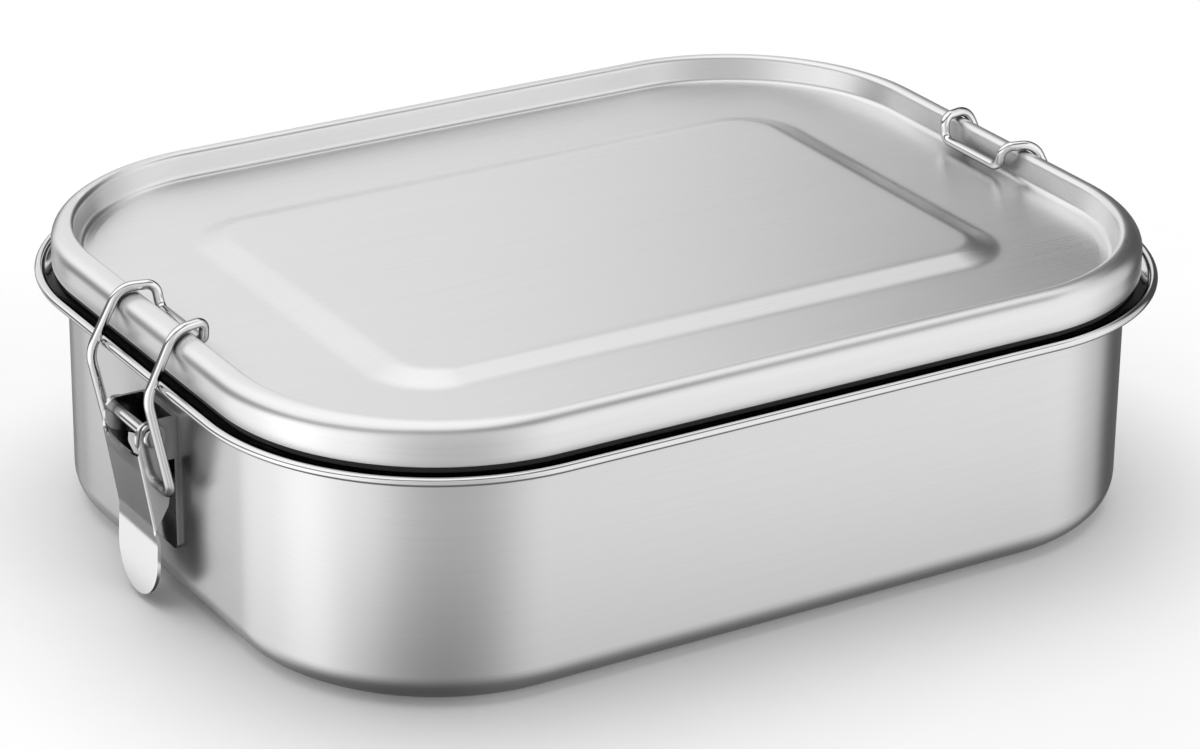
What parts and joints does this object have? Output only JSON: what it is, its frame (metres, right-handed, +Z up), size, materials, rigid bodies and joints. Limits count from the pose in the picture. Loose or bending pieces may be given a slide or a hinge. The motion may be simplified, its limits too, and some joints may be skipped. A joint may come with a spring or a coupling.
{
  "type": "lunch box",
  "caption": "Low rectangular stainless steel lunch box with rounded corners, a lift-off lid with a raised panel, and a wire bail latch on each end.",
  "frame": {"origin": "centre of the tub's flat bottom", "axes": "+Z up; X along the long side, from the left latch (-X) to the right latch (+X); +Y is the far long side"},
  "size_m": [0.2362, 0.1804, 0.0672],
  "materials": {
    "tub_steel": "fine grain running round the wall",
    "lid_steel": "fine grain along the box",
    "latch_steel": "soft polish",
    "wire_steel": "bright polish",
    "seal_silicone": "matt"
  },
  "bodies": {
    "tub": {"tub": "tub_steel", "left_hinge_plate": "latch_steel", "left_pivot_pin": "latch_steel", "right_hinge_plate": "latch_steel", "right_pivot_pin": "latch_steel"},
    "lid": {"lid": "lid_steel", "lid_seal": "seal_silicone"},
    "left_lever": {"left_lever": "latch_steel"},
    "left_bail": {"left_bail": "wire_steel"},
    "right_lever": {"right_lever": "latch_steel"},
    "right_bail": {"right_bail": "wire_steel"}
  },
  "joints": [
    {"name": "lid_lift", "type": "slide", "parent": "tub", "child": "lid", "axis": [0, 0, 1], "range_m": [0, 0.09]},
    {"name": "left_lever_turn", "type": "hinge", "parent": "tub", "child": "left_lever", "pos_m": [-0.1142, 0, 0.0408], "axis": [0, 1, 0], "range_deg": [0, 160], "deforming": ["left_bail"]},
    {"name": "left_bail_turn", "type": "hinge", "parent": "left_lever", "child": "left_bail", "pos_m": [-0.1123, 0, 0.0288], "axis": [0, -1, 0], "range_deg": [0, 160]},
    {"name": "right_lever_turn", "type": "hinge", "parent": "tub", "child": "right_lever", "pos_m": [0.1142, 0, 0.0408], "axis": [0, -1, 0], "range_deg": [0, 160], "deforming": ["right_bail"]},
    {"name": "right_bail_turn", "type": "hinge", "parent": "right_lever", "child": "right_bail", "pos_m": [0.1123, 0, 0.0288], "axis": [0, 1, 0], "range_deg": [0, 160]}
  ]
}
